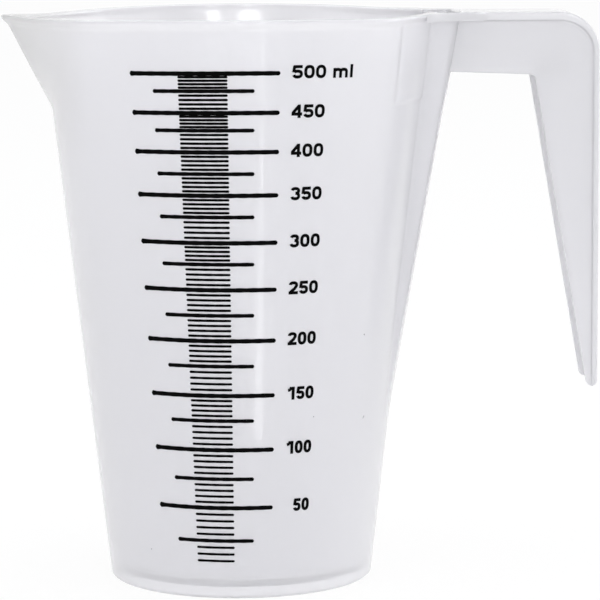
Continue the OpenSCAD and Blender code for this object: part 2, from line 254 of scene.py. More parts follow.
@dataclass
class Mesh:
    """Points in millimetres and faces, put together from closed shapes."""

    points: list[Array] = field(default_factory=list)
    faces: Faces = field(default_factory=list)
    count: int = 0
    sizes: JugSizes = field(default_factory=JugSizes)

    def add(self, points: Array, faces: Faces) -> None:
        """Adds a closed shape, turned so that its faces point outwards.

        Args:
            points: its points, in millimetres.
            faces: its faces, as rows of indices into the points.
        """
        if signed_volume(points - points.mean(axis=0), faces) < 0:
            faces = [tuple(reversed(f)) for f in faces]
        self.faces += [tuple(int(i) + self.count for i in f) for f in faces]
        self.points.append(points)
        self.count += len(points)

    def build(self, name: str, sharp: float) -> Piece:
        """Makes the object, shaded smooth but for edges sharper than the angle.

        Args:
            name: the object's name.
            sharp: the angle in degrees.

        Returns:
            The new object, at the origin.
        """
        mesh = bpy.data.meshes.new(name)
        points = settled(np.concatenate(self.points), self.sizes) * MM
        mesh.from_pydata(points.tolist(), [], self.faces)
        mesh.update()
        mesh.shade_smooth()
        mesh.set_sharp_from_angle(angle=math.radians(sharp))
        return new_object(name, mesh)


def face_values(made: Piece, name: str) -> Array:
    """Reads a vector from each face.

    Args:
        made: the object.
        name: "center" for the faces' middles in metres, or "normal".

    Returns:
        One row for each face.
    """
    values = np.zeros(len(made.data.polygons) * 3)
    made.data.polygons.foreach_get(name, values)
    return values.reshape(-1, 3)


def number_faces(made: Piece, numbers: Array) -> Piece:
    """Gives each face the number of its material, and returns the object."""
    made.data.polygons.foreach_set("material_index", numbers.astype(np.int32))
    return made


def closed_tube(rings: Array, looped: bool = False) -> tuple[Array, Faces]:
    """A tube through rings of points, closed by a flat face at each end or joined into a loop.

    Args:
        rings: an array of rings by points by three coordinates.
        looped: whether its end joins its start.

    Returns:
        The points and the faces.
    """
    rows, columns, _ = rings.shape
    faces = ring_faces(rows, columns, looped)
    if not looped:
        faces.append(tuple(reversed(range(columns))))
        faces.append(tuple(range((rows - 1) * columns, rows * columns)))
    return rings.reshape(-1, 3), faces


def tubes(name: str, sharp: float, *rings: Array) -> Piece:
    """Makes one object of closed tubes.

    Args:
        name: the object's name.
        sharp: the least angle of a sharp edge, in degrees.
        rings: the rings of points of each tube.

    Returns:
        The object.
    """
    mesh = Mesh()
    for tube in rings:
        mesh.add(*closed_tube(tube))
    return mesh.build(name, sharp)


def settle(piece: Piece, slot: Slot, materials: list[Material], *nodes: str) -> None:
    """Dresses a piece, lets it ride on the jug and says which solids it stands for.

    Args:
        piece: the new piece.
        slot: the record's slot for its finish; not used.
        materials: its materials, in the order of its faces' numbers.
        nodes: the solids that it replaces.
    """
    piece.data.materials.clear()
    for material in materials:
        piece.data.materials.append(material)
    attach(piece, "root")
    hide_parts(*nodes)
    LOG.info("%s stands for %s", piece.name, ", ".join(nodes))


# Cross-sections of the ink's lines and of the figures' strokes: half widths across, and depths in the ink
LINE_SECTION = np.array([(-1.0, 0.5), (-0.8, 1.0), (0.8, 1.0), (1.0, 0.5), (0.8, 0.0), (-0.8, 0.0)]).T
STROKE_SECTION = np.array([(-1.0, 0.0), (-1.0, 0.6), (-0.84, 1.0), (0.84, 1.0), (1.0, 0.6), (1.0, 0.0)]).T
# The bead's outline, as how far out of the cone and how far above the bead's underside
BEAD_OUTSIDE = ((0.04, -0.85), (0.14, -0.6), (0.29, -0.35), (0.47, -0.12), (0.66, 0.1), (0.84, 0.3),
                (0.99, 0.5), (1.11, 0.7), (1.18, 0.88), (1.2, 1.05), (1.15, 1.25), (1.0, 1.4), (0.75, 1.48),
                (0.4, 1.5), (0.0, 1.5))
BEAD_INSIDE = ((-0.45, 1.5), (-0.85, 1.5), (-1.08, 1.44), (-1.24, 1.3), (-1.3, 1.1))
# Heights on the wall where the rows begin to stand closer or wider
WALL_STOPS = (30, 48, 104, 116)


@dataclass(frozen=True)
class Row:
    """One ring of the moulding's surface.

    Args:
        z: its height.
        grow: how far it stands out from the outer cone.
        root_grow: how far it stands out from the root's outer faces.
        shape_z: the height whose outline it follows.
        fixed_r: its radius where it is a plain circle, or None.
    """

    z: float
    grow: float
    root_grow: float
    shape_z: float
    fixed_r: float | None = None


@dataclass(frozen=True)
class Outlines:
    """Rows as arrays: the heights of their outlines, and how far they stand out."""

    z: Array
    grow: Array
    root_grow: Array


@dataclass
class Moulding:
    """The vessel with its foot, bead, spout and the handle's hollow root, as one closed skin.

    Each row of the skin is an outline round the axis, given by a radius for each angle. The rows
    run from the middle of the underside, round the foot, up the outside, over the bead, down the
    inside and over the floor.
    """

    sizes: JugSizes
    foot_eases: tuple[float, float] = (2.6, 0.25)  # degrees, where the root meets the wall's two faces
    crest_ease: float = 0.35  # degrees, where its sides turn into its back
    pad_ease: float = 0.4  # degrees, half the step at a pad's end
    pad_top: float = 0.9
    least_line: float = 12.0  # degrees, kept for the spout's line
    tip_angles: tuple[float, float] = (1.2, 4.0)  # degrees, least and most for its nose
    fillet: float = 1.6
    root_starts: float = 0.4  # how far out of the cone a face belongs to the root
    mouth_depth: float = 0.9
    base_rise: float = 1.0
    edge_rise: float = 1.15

    def key_angles(self, rows: Outlines) -> tuple[Array, ...]:
        """The angles at which the outline changes.

        The root's side runs between the angles whose sines are its half width over the wall's
        radius and over the root's radius. The spout's line leaves the wall where the cosine is the
        wall's radius less the nose's over the nose centre's distance.

        Args:
            rows: the rows.

        Returns:
            The root's crest and foot, measured from +X, and the spout's tangent and nose, from -X.
        """
        s = self.sizes
        base = s.wall_r(np.minimum(rows.z, s.bead_z))
        half = s.strap_w / 2 + rows.root_grow
        ease = np.where(rows.root_grow >= 0, *self.foot_eases)
        foot = np.arcsin(half / (base + rows.grow)) + ease * DEGREE
        crest = np.arcsin(half / (base + s.root_rise(rows.z) + rows.root_grow)) - self.crest_ease * DEGREE
        centre = base + s.spout_rise(rows.z) - s.nose_r
        tangent = np.arccos(np.clip((base - s.nose_r) / centre, -1.0, 1.0))
        nose = s.nose_r + rows.grow
        nose_edge = np.arctan2(nose * np.sin(tangent), centre + nose * np.cos(tangent))
        return crest, foot, tangent, nose_edge

    def angles(self, rows: Outlines) -> Array:
        """The columns' angles for each row, close together where the outline turns.

        Args:
            rows: the rows.

        Returns:
            An array of rows by columns, from +X to -X.
        """
        crest, foot, tangent, nose_edge = self.key_angles(rows)
        pad, ease = self.sizes.pad_angle, self.pad_ease
        line = np.maximum(tangent, self.least_line * DEGREE)
        least, most = self.tip_angles
        tip = np.clip(nose_edge, least * DEGREE, most * DEGREE)
        zero = np.zeros_like(crest)
        stops = [zero, crest, foot, zero + (pad - ease) * DEGREE, zero + (pad + ease) * DEGREE,
                 math.pi - line, math.pi - tip, zero + math.pi]
        counts = [12, 8, 12, 4, 56, 16, 8]
        parts = []
        for a, b, n in zip(stops[:-1], stops[1:], counts):
            share = np.linspace(0.0, 1.0, n, endpoint=False)[None, :]
            parts.append(a[:, None] * (1 - share) + b[:, None] * share)
        return np.concatenate(parts + [stops[-1][:, None]], axis=1)

    def radius(self, angle: Array, rows: Outlines) -> Array:
        """The outline's radius at each angle.

        It is the wall's circle, or towards -X the line that touches that circle at the tangent
        angle t, the wall's radius over cos(a - t), and then the nose's circle. Towards +X it
        climbs from the wall to the root's circle over a smooth step.

        Args:
            angle: angles from +X, rows by columns.
            rows: the rows.

        Returns:
            Radii, rows by columns.
        """
        s = self.sizes
        crest, foot, tangent, nose_edge = (k[:, None] for k in self.key_angles(rows))
        z, grown, root_grown = (k[:, None] for k in (rows.z, rows.grow, rows.root_grow))
        base = s.wall_r(np.minimum(z, s.bead_z))
        pad = smooth_step((s.pad_angle + self.pad_ease - angle / DEGREE) / (2 * self.pad_ease))
        high = smooth_step((z - s.bead_z + s.pad_h) / self.pad_top)
        pad = pad * high * s.pad_t
        wall = base + np.where(grown < 0, grown, np.maximum(grown, pad))
        away = math.pi - angle
        centre = base + s.spout_rise(z) - s.nose_r
        nose = s.nose_r + grown
        line = (base + grown) / np.cos(np.minimum(away, tangent) - tangent)
        across = np.maximum(nose**2 - (centre * np.sin(away)) ** 2, 0.0)
        tip = centre * np.cos(away) + np.sqrt(across)
        result = np.where(away < tangent, np.where(away < nose_edge, tip, line), wall)
        climb = smooth_step((foot - angle) / (foot - crest))
        collar = high * s.collar_t * (root_grown >= 0)
        root = base + s.root_rise(z) + root_grown + collar
        return result * (1 - climb) + root * climb

    def profile(self) -> list[Row]:
        """Lists the skin's rows.

        Returns:
            The rows, from beside the middle of the underside to beside the middle of the floor.
        """
        s = self.sizes
        rows = []
        ring_r = s.base_r - s.foot_t
        edge_r = s.cone_r(s.foot_h) - s.wall_t
        for share in spans(0.08, 0.97, 1.0, steps=(8, 2)):
            r = ring_r * share
            rows.append(Row(s.foot_h + s.dome(r, edge_r), 0, 0, s.foot_h, r))
        foot_inside = ((s.foot_h - 0.25, 0.02), (1.6, 0.02), (0.8, 0.02), (0.3, 0.02), (0.08, 0.08),
                       (0.0, 0.28))
        for z, out in foot_inside:
            rows.append(Row(z, 0, 0, max(z, 0.1), ring_r + out))
        middle = s.cone_r(s.foot_edge_r) - s.foot_edge_r
        for turn in spans(-90, 0, steps=(8,)):
            r = middle + s.foot_edge_r * math.cos(turn * DEGREE)
            rows.append(Row(s.foot_edge_r * (1 + math.sin(turn * DEGREE)), 0, 0, s.foot_edge_r, r))
        top = s.bead_z
        for z in spans(1.6, *WALL_STOPS, top - 1.2, steps=(10, 24, 26, 30, 22)):
            rows.append(Row(z, 0, 0, z))
        root_crown, crown_z = 0.12, 1.3
        for grow, z in BEAD_OUTSIDE:
            rows.append(Row(top + z, grow, -root_crown * (z > crown_z), top + z))
        for grow, z in BEAD_INSIDE:
            rows.append(Row(top + z, grow, grow, top + z))
        inside, shape_z = -s.wall_t, s.floor_z + self.fillet
        for z in spans(top + 0.7, *reversed(WALL_STOPS), shape_z, steps=(24, 30, 26, 24, 10)):
            rows.append(Row(z, inside, inside, z))
        corner = s.cone_r(shape_z) - s.wall_t - self.fillet
        for turn in spans(12, 90, steps=(6,)):
            r = corner + self.fillet * math.cos(turn * DEGREE)
            rise = s.dome(r, s.floor_r) * (turn / 90)
            z = s.floor_z + self.fillet * (1 - math.sin(turn * DEGREE)) + max(rise, 0.0)
            rows.append(Row(z, inside, inside, shape_z, r))
        for share in spans(0.93, 0.08, steps=(10,)):
            r = corner * share
            rows.append(Row(s.floor_z + s.dome(r, s.floor_r), inside, inside, shape_z, r))
        return rows

    def build(self) -> Piece:
        """Makes the skin: rows of points, quads between them and a fan at each end.

        Returns:
            The object.
        """
        s = self.sizes
        rows = self.profile()
        z = np.array([r.z for r in rows])
        outlines = Outlines(*np.array([(r.shape_z, r.grow, r.root_grow) for r in rows], float).T)
        half = self.angles(outlines)
        radius = self.radius(half, outlines)
        fixed = np.array([np.nan if r.fixed_r is None else r.fixed_r for r in rows])[:, None]
        radius = np.where(np.isnan(fixed), radius, fixed)
        angle, radius = round_trip(half, -1.0), round_trip(radius)
        height = np.broadcast_to(z[:, None], angle.shape)
        grid = np.stack([radius * np.cos(angle), radius * np.sin(angle), height], axis=-1)
        count, columns = angle.shape
        under = [0.0, 0.0, s.foot_h + s.floor_dome]
        over = [0.0, 0.0, s.floor_z + s.floor_dome]
        points = np.concatenate([grid.reshape(-1, 3), np.array([under, over])])
        faces = ring_faces(count, columns)
        first, last = count * columns, count * columns + 1
        end = (count - 1) * columns
        faces += [((k + 1) % columns, k, first) for k in range(columns)]
        faces += [(end + k, end + (k + 1) % columns, last) for k in range(columns)]
        mesh = Mesh()
        mesh.add(points, faces)
        made = mesh.build("moulding", sharp=50)
        return number_faces(made, self.zones(face_values(made, "center") / MM))

    def zones(self, middles: Array) -> Array:
        """The number of each face's finish.

        Args:
            middles: the middles of the faces, in millimetres.

        Returns:
            0 for plain wall, 1 for the base, 2 for the root and the mouth's inside, painted lighter
            to lift their shade, and 3 for the rim's top, painted darker as painted shade.
        """
        s = self.sizes
        x, y, z = middles.T
        out = np.hypot(x, y) > s.wall_r(z) + self.root_starts
        # Painted light: the root's outside and the mouth's inside take a lighter finish that lifts their
        # shade.
        shaded = (out & (x > 0)) | (~out & (z > s.bead_z - self.mouth_depth))
        zone = np.where(shaded, 2, 0)
        zone = np.where(z < s.floor_z + s.floor_dome + self.base_rise, 1, zone)
        # Painted shade: the rim's top takes a much darker finish.
        return np.where(z > s.bead_z + self.edge_rise, 3, zone)


@dataclass
class Hook:
    """The handle's hook: a strap bent round a corner, with a cheek under each side.

    Its side view has three lines: the strap's outer face, its underside and the cheeks' free
    edge. Each cross-section joins the three, and the hook is a tube through the cross-sections.
    """

    sizes: JugSizes
    knee_r: float = 1.4
    seat: float = 0.03
    arm_t: float = 2.0
    grip_t: float = 1.4

    def lines(self) -> tuple[Array, Array, Array, Array]:
        """The three lines, point for point, and each point's share of the way from the root.

        Returns:
            Outer face, underside and free edge as X and Z, and the arm's shares, 1 past the arm.
        """
        s = self.sizes
        top = s.vessel_h - s.strap_drop
        arm_z = top - s.arm_depth
        knee = np.array([s.handle_reach - s.grip_depth, arm_z - s.arm_fall])
        end_r = s.tip_w / 2
        tip = np.array([s.handle_reach - end_r, s.tip_z + end_r])
        middle = np.array([s.handle_reach - s.strap_corner_r, top - s.strap_corner_r])
        inner_tip = tip - [end_r, 0]
        slope = (inner_tip - knee) / np.linalg.norm(inner_tip - knee)
        along = spans(0, 1, steps=(14,))[:-1]
        outer = [np.stack([middle[0] * along, np.full_like(along, top)], 1)]
        under = [np.stack([middle[0] * along, np.full_like(along, top - self.arm_t)], 1)]
        knee_start = knee[0] - self.knee_r
        fall = s.arm_fall * along
        edge = [np.stack([knee_start * along, arm_z - fall], 1)]
        turn = spans(90, 0, steps=(14,)) * DEGREE
        way = on_circle(turn)
        outer.append(middle + s.strap_corner_r * way)
        under.append(middle + (s.strap_corner_r - np.array([self.grip_t, self.arm_t])) * way)
        bend = spans(0, 1, steps=(14,))[:, None]
        before = np.array([knee_start, knee[1]])
        after = knee + slope * self.knee_r
        edge.append((1 - bend) ** 2 * before + 2 * bend * (1 - bend) * knee + bend**2 * after)
        down = spans(0, 1, steps=(26,))[1:, None]
        for line, x in ((outer, s.handle_reach), (under, s.handle_reach - self.grip_t)):
            line.append(np.array([x, middle[1]]) * (1 - down) + np.array([x, tip[1]]) * down)
        edge.append(after * (1 - down) + inner_tip * down)
        close = spans(12, 82, steps=(6,)) * DEGREE
        right = tip + end_r * on_circle(-close)
        left = tip - end_r * on_circle(close)
        share = self.grip_t / s.tip_w
        outer.append(right)
        under.append(right * (1 - share) + left * share)
        edge.append(left)
        total = sum(len(p) for p in outer)
        shares = np.ones(total)
        shares[: len(along)] = along
        return np.concatenate(outer), np.concatenate(under), np.concatenate(edge), shares

    def section(self) -> tuple[Array, Array, Array]:
        """One half of a cross-section, from the middle of the outer face to that of the underside.

        Returns:
            Y, the depth in the strap from 0 to 1, and the depth in the cheek from 0 to 1.
        """
        s = self.sizes
        w = s.strap_w / 2
        out = w - s.cheek_inset
        inner = out - s.cheek_t
        strap = [(0.0, 0.0), (w * 0.5, 0.0), (w - 0.5, 0.0), (w - 0.2, 0.03), (w - 0.05, 0.12), (w, 0.3),
                 (w, 0.7), (w - 0.05, 0.88), (w - 0.2, 0.97), (w - 0.45, 1.0), (out + 0.4, 1.0)]
        fall = [(out + 0.13, 0.012), (out + 0.04, 0.03), (out, 0.06), (out, 0.25), (out, 0.5), (out, 0.75),
                (out, 0.96), (out - 0.12, 0.99), (out - 0.4, 1.0), (inner + 0.4, 1.0), (inner + 0.12, 0.99),
                (inner, 0.96), (inner, 0.75), (inner, 0.5), (inner, 0.25), (inner, 0.04),
                (inner - 0.06, 0.012), (inner - 0.25, 0.0), (inner * 0.5, 0.0), (0.0, 0.0)]
        y, parts = np.array(strap + fall).T
        in_strap = np.arange(len(y)) < len(strap)
        return y, np.where(in_strap, parts, 1.0), np.where(in_strap, 0.0, parts)

    def build(self) -> Piece:
        """Makes the hook. The arm's stations start on the root's cone, a hair's breadth clear.

        Returns:
            The object.
        """
        s = self.sizes
        outer, under, edge, shares = self.lines()
        y, depth, cheek = self.section()
        y = round_trip(y, -1.0)
        depth, cheek = (round_trip(part)[None, :, None] for part in (depth, cheek))
        in_strap = outer[:, None] * (1 - depth) + under[:, None] * depth
        flat = in_strap * (1 - cheek) + edge[:, None] * cheek
        x, z = flat[..., 0], flat[..., 1]
        root = s.wall_r(z) + s.root_rise(z)
        start = np.sqrt(root**2 - y[None, :] ** 2) + self.seat
        arm = (shares < 1)[:, None]
        x = np.where(arm, start * (1 - shares[:, None]) + x, x)
        rings = np.stack([x, np.broadcast_to(y[None, :], x.shape), z], axis=-1)
        made = tubes("handle_hook", 40, rings)
        # Painted light: the faces turned into the channel take the lighter finish, which lifts the
        # channel's shade.
        inward = face_values(made, "normal")[:, 1] * np.sign(face_values(made, "center")[:, 1]) < -TURNED
        return number_faces(made, inward)


@dataclass
class CornerWeb:
    """The small angle between the cheeks in the handle's corner."""

    sizes: JugSizes
    clear: float = 0.04

    def build(self) -> Piece:
        """Makes the web: its side view, carried across the handle, with its rims drawn in.

        Returns:
            The object.
        """
        s = self.sizes
        half = s.strap_w / 2 - s.cheek_inset - s.cheek_t - self.clear
        x = s.handle_reach - s.grip_depth + self.clear
        z = s.vessel_h - s.strap_drop - s.arm_depth - s.arm_fall + self.clear
        far = x + s.web_l
        near, top, shelf = far - s.web_t, z + s.web_h, z + s.web_t
        outer, inner, cut, part = 0.3, 0.6, 0.2, 0.3
        outline = np.array([
            [x, z], [far - outer, z], [far - outer * part, z + outer * part], [far, z + outer],
            [far, top - cut], [far - cut, top], [near + cut, top], [near, top - cut],
            [near, shelf + inner], [near - inner * part, shelf + inner * part], [near - inner, shelf],
            [x, shelf]])
        across = np.array([-half, -half + 0.08, -half / 2, 0.0, half / 2, half - 0.08, half])
        middle = outline.mean(axis=0)
        draw = np.where(np.abs(across) >= half, 0.97, 1.0)[:, None, None]
        flat = middle + (outline - middle) * draw
        y = np.broadcast_to(across[:, None], flat.shape[:2])
        return tubes("handle_corner_web", 40, np.stack([flat[..., 0], y, flat[..., 1]], axis=-1))


@dataclass
class Flares:
    """The two webs that spread the strap onto the bead with a hollow curve."""

    sizes: JugSizes
    seat: float = 0.03
    web_t: float = 2.0

    def build(self) -> Piece:
        """Makes both webs: cross-sections between the bead's circle and the hollow curve.

        The hollow curve is an arc that touches the strap's side and the bead's circle. Each
        cross-section has soft outer edges.

        Returns:
            The object.
        """
        s = self.sizes
        ring = s.cone_r(s.bead_z) + s.bead_out + self.seat
        side = s.strap_w / 2 + self.seat
        centre = np.array([math.sqrt((ring + s.flare_r) ** 2 - (side + s.flare_r) ** 2), side + s.flare_r])
        turn = math.atan2(centre[1], centre[0])
        share = spans(0, 0.985, steps=(24,))
        angle = -90 * DEGREE - (math.pi / 2 - turn) * share
        curve = centre + s.flare_r * on_circle(angle)
        start = math.asin(side / ring)
        along = start + (turn - start) * share
        bead = ring * on_circle(along)
        top = s.vessel_h - s.strap_drop
        across = np.array([(0.0, 0.0), (0.5, 0.0), (0.9, 0.0), (0.985, 0.08), (1.0, 0.3), (1.0, 0.7),
                           (0.985, 0.92), (0.9, 1.0), (0.5, 1.0), (0.0, 1.0)])
        out = across[None, :, :1]
        flat = bead[:, None] * (1 - out) + curve[:, None] * out
        z = np.broadcast_to(top - self.web_t * across[None, :, 1], flat.shape[:2])
        rings = [np.stack([flat[..., 0], way * flat[..., 1], z], axis=-1) for way in (1.0, -1.0)]
        made = tubes("strap_flares", 40, *rings)
        # Painted shade: the faces turned towards +X take the darker flare finish.
        return number_faces(made, face_values(made, "normal")[:, 0] > TURNED)


@dataclass(frozen=True)
class LineKind:
    """One kind of printed line: its node, height, ends in degrees, steps and heavy left end."""

    node: str
    height: float
    left: float
    right: float
    steps: int
    blob: float = 0.0


LINE_KINDS = (LineKind("lines_50_ml", 1.0, -32.6, 12.1, 60, 0.22),
              LineKind("lines_25_ml", 0.86, -25.3, 4.7, 40, 0.1),
              LineKind("lines_5_ml", 0.56, -17.5, -3.0, 12))


@dataclass(frozen=True)
class Bow:
    """Part of a slightly squared ellipse in a figure's cell.

    Args:
        centre: its place.
        radii: its radii, as a place.
        start: its first angle in degrees.
        end: its last angle in degrees.
        steps: the number of steps along it.
        power: the power that its cosine and sine are raised to, where 1 gives a plain ellipse.
    """

    centre: Place
    radii: Place
    start: float
    end: float
    steps: int
    power: float = 0.86


@dataclass(frozen=True)
class Cell:
    """The box that a figure is drawn in: its width, its height and half the stroke's width."""

    w: float
    h: float
    half: float

    def point(self, place: Place) -> Array:
        """A place in millimetres."""
        across, up, *trim = place
        return np.array([self.w * across, self.h * up]) + self.half * np.array(trim or (0.0, 0.0))

    def path(self, parts: tuple[Place | Bow, ...]) -> Array:
        """The middle line of a stroke.

        Args:
            parts: the places and bows that it runs through.

        Returns:
            Its points. The last is the first again where it is a ring.
        """
        points = []
        for part in parts:
            if isinstance(part, Bow):
                way = on_circle(np.linspace(part.start, part.end, part.steps + 1) * DEGREE)
                round_it = np.sign(way) * np.abs(way) ** part.power
                points.append(self.point(part.centre) + self.point(part.radii) * round_it)
            else:
                points.append(self.point(part)[None])
        return np.concatenate(points)


# The strokes of the digits and letters, each as the places and bows that it runs through
FIGURES = {
    "0": [(Bow((0.5, 0.5), (0.5, 0.5, -1, -1), 0, 360, 32, 0.8),)],
    "1": [((0.14, 0.735), (0.34, 0.76), (0.47, 0.85), (0.52, 0.99)), ((0.58, 1, 1, 0), (0.58, 0, 1, 0))],
    "2": [(Bow((0.5, 0.71), (0.5, 0.29, -1, -1), 176, -28, 18), (0.62, 0.42), (0.34, 0.27),
           (0, 0, 1.15, 1.2)), ((0, 0, 0, 1), (1, 0, 0, 1))],
    "3": [(Bow((0.5, 0.765, 0, -0.5), (0.5, 0.235, -1.15, -0.5), 168, -88, 18),),
          (Bow((0.5, 0.265, 0, 0.5), (0.5, 0.265, -1, -0.5), 88, -168, 18),)],
    "4": [((0.72, 0), (0.72, 1)), ((0, 0.29), (1, 0.29)), ((0, 0.29, 0.7, 0.6), (0.72, 1, -0.4, -1.1))],
    "5": [(Bow((0.5, 0.335), (0.5, 0.335, -1, -1), 143, -166, 20),),
          ((0, 1, 1.5, -0.5), (0, 0.46, 1.05, 0)), ((0.13, 1, 0, -1), (0.95, 1, 0, -1))],
    "m": [((0, 0, 1, 0), (0, 1, 1, 0)),
          (Bow((0.25, 0.62, 0.5, 0), (0.25, 0.38, -0.5, -1), 178, 0, 12), (0.5, 0)),
          (Bow((0.75, 0.62, -0.5, 0), (0.25, 0.38, -0.5, -1), 178, 0, 12), (1, 0, -1, 0))],
    "l": [((0.5, 0), (0.5, 1))],
}


@dataclass
class PrintedScale:
    """The black lines and numbers on the cone."""

    sizes: JugSizes
    ink_t: float = 0.09
    lift: float = 0.012
    number_h: float = 3.0
    number_rise: float = 0.25
    stroke_w: float = 0.7
    right_angle: float = 25.95
    drift_angle: float = 2.0
    pitch_angle: float = 3.6
    digit_angle: float = 3.2
    m_angles: tuple[float, float] = (28.3, 33.2)
    l_angles: tuple[float, float] = (34.0, 35.0)
    small_letter_share: float = 0.74
    top_number: int = 500
    number_step: int = 50
    bottom_spread: float = 0.05
    right_spread: float = 0.3
    end_share: float = 0.02
    ripple: float = 0.05
    ripple_pitch: float = 2.1
    blob_l: float = 0.5
    low_marks_share: float = 0.82
    band_shares: tuple[int, ...] = (10, 8, 7, 7, 7, 6, 7, 6, 6, 6, 6, 5, 6, 5, 5, 5, 5, 4, 5, 4)

    @property
    def full_z(self) -> float:
        """Height of the highest line."""
        return self.sizes.vessel_h * self.sizes.top_line_share

    @property
    def scale_h(self) -> float:
        """From the floor's edge up to the highest line."""
        return self.full_z - self.sizes.floor_z

    def band_z(self, n: float) -> float:
        """Height of a line of 25 ml, by its number: its share of the way from the floor up."""
        below = np.cumsum((0, *self.band_shares)) / sum(self.band_shares)
        return self.sizes.floor_z + self.scale_h * float(np.interp(n, range(len(below)), below))

    def mark_z(self, n: int) -> float:
        """Height of a mark of 5 ml, by its number. Under the lowest line of 25 ml they stand closer."""
        z, lowest = self.band_z(n / 5), self.band_z(1)
        return lowest - (lowest - z) * self.low_marks_share if z < lowest else z

    def on_cone(self, angle: Array, z: Array, deep: Array) -> Array:
        """Places ink on the cone.

        Args:
            angle: angles from the front towards the handle, in radians.
            z: heights.
            deep: shares of the ink's thickness, from the wall outwards.

        Returns:
            Points, with their coordinates in the last axis.
        """
        radius = self.sizes.wall_r(z) + self.lift + (self.ink_t - self.lift) * deep
        return np.stack([radius * np.sin(angle), -radius * np.cos(angle), z], axis=-1)

    def strip(self, z: float, kind: LineKind, seed: int) -> Array:
        """One line as rings of points along it: an oval cross-section that closes at both ends.

        At a share t of the way into its round end, half its height is the nominal half times the
        root of 1 - (1 - t)^2. A slow ripple stands for the uneven edge of a screen print.

        Args:
            z: its height.
            kind: its kind.
            seed: what shifts its ripple.

        Returns:
            Rings by points by three coordinates.
        """
        r = self.sizes.cone_r(z)
        half = kind.height / 2
        spread = self.bottom_spread * (self.full_z - z) / self.full_z
        left = kind.left * (1 + spread)
        right = kind.right - kind.left * spread * self.right_spread
        length = r * (right - left) * DEGREE
        end = spans(self.end_share, 1.0, steps=(5,)) * half
        body = np.linspace(half, length - half, kind.steps)[1:-1]
        along = np.concatenate([end, body, (length - end)[::-1]])
        near = np.minimum(np.minimum(along, length - along) / half, 1.0)
        tall = half * np.sqrt(1 - (1 - near) ** 2)
        ripple = self.ripple * np.sin(along * self.ripple_pitch + seed)
        heavy = kind.blob * np.exp(-(((along - half) / self.blob_l) ** 2))
        tall = tall * (1 + ripple + heavy)
        angle = left * DEGREE + along / r
        across, deep = LINE_SECTION
        height = z + across * tall[:, None]
        return self.on_cone(np.broadcast_to(angle[:, None], height.shape), height, deep)

    def lines(self, kind: LineKind, heights: list[float]) -> Piece:
        """Makes all the lines of one kind as one object."""
        return tubes("printed_" + kind.node, 60, *(self.strip(z, kind, k) for k, z in enumerate(heights)))

    def write(self, mesh: Mesh, figure: str, cell: Cell, angle: float, low: float) -> None:
        """Lays the strokes of one figure on the cone.

        A stroke's sides lie half its width from its middle line, along the normal there.

        Args:
            mesh: the mesh that they are added to.
            figure: the digit or letter.
            cell: its cell.
            angle: the angle of the cell's middle in degrees.
            low: the height of the cell's foot.
        """
        r = self.sizes.cone_r(low)
        across, deep = STROKE_SECTION
        across = across * self.stroke_w / 2
        for stroke in FIGURES[figure]:
            line = cell.path(stroke)
            looped = np.allclose(line[0], line[-1])
            if looped:
                line = line[:-1]
                way = np.roll(line, -1, axis=0) - np.roll(line, 1, axis=0)
            else:
                way = np.gradient(line, axis=0)
            way = way / np.linalg.norm(way, axis=1, keepdims=True)
            x = line[:, :1] - way[:, 1:] * across
            y = line[:, 1:] + way[:, :1] * across
            rings = self.on_cone(angle * DEGREE + (x - cell.w / 2) / r, low + y, deep)
            mesh.add(*closed_tube(rings, looped))

    def number(self, value: int) -> Piece:
        """Makes one number, digit by digit from the right.

        Args:
            value: the number.

        Returns:
            The object.
        """
        z = self.band_z(len(self.band_shares) * value / self.top_number)
        low = z + self.number_rise - self.number_h / 2
        drift = self.drift_angle * (self.full_z - z) / self.scale_h
        w = self.sizes.cone_r(z) * self.digit_angle * DEGREE
        cell = Cell(w, self.number_h, self.stroke_w / 2)
        mesh = Mesh()
        for k, digit in enumerate(reversed(str(value))):
            angle = self.right_angle + drift - self.digit_angle / 2 - self.pitch_angle * k
            self.write(mesh, digit, cell, angle, low)
        return mesh.build(f"printed_number_{value}", sharp=50)

    def unit(self) -> Piece:
        """Makes the unit after the highest number.

        Returns:
            The object.
        """
        low = self.full_z + self.number_rise - self.number_h / 2
        r = self.sizes.cone_r(low)
        mesh = Mesh()
        letters = (("m", self.m_angles, self.small_letter_share), ("l", self.l_angles, 1.0))
        for letter, (left, right), share in letters:
            cell = Cell(r * (right - left) * DEGREE, self.number_h * share, self.stroke_w / 2)
            self.write(mesh, letter, cell, (left + right) / 2, low)
        return mesh.build("printed_unit_ml", sharp=50)

    def build(self, ink: Material) -> None:
        """Makes and dresses every line and number.

        Args:
            ink: their material.
        """
        bands = len(self.band_shares)
        long = [self.band_z(n) for n in range(2, bands + 1, 2)]
        middle = [self.band_z(n) for n in range(1, bands, 2)]
        short = [self.mark_z(n) for n in range(2, bands * 5) if n % 5]
        for kind, heights in zip(LINE_KINDS, (long, middle, short)):
            settle(self.lines(kind, heights), Slot.INK, [ink], kind.node)
        for value in range(self.top_number, 0, -self.number_step):
            settle(self.number(value), Slot.INK, [ink], f"number_{value}")
        settle(self.unit(), Slot.INK, [ink], "unit_ml")


def feed(tree: Tree, node: Node, inputs: dict[str | int, object]) -> None:
    """Sets a node's inputs, or links those that are given an output socket.

    Args:
        tree: the node tree.
        node: the node.
        inputs: values or sockets, by the inputs' names or places.
    """
    for name, value in inputs.items():
        if isinstance(value, Socket):
            tree.links.new(value, node.inputs[name])
        else:
            node.inputs[name].default_value = value


def add_node(tree: Tree, kind: str, inputs: dict[str | int, object], **properties: object) -> Node:
    """Adds a node.

    Args:
        tree: the node tree.
        kind: the node's type.
        inputs: what feeds its inputs.
        properties: its properties, set before the inputs.

    Returns:
        The node.
    """
    node = tree.nodes.new(kind)
    for name, value in properties.items():
        setattr(node, name, value)
    feed(tree, node, inputs)
    return node


def find_node(tree: Tree, kind: str) -> Node:
    """The tree's first node of a type."""
    return next(n for n in tree.nodes if n.type == kind)


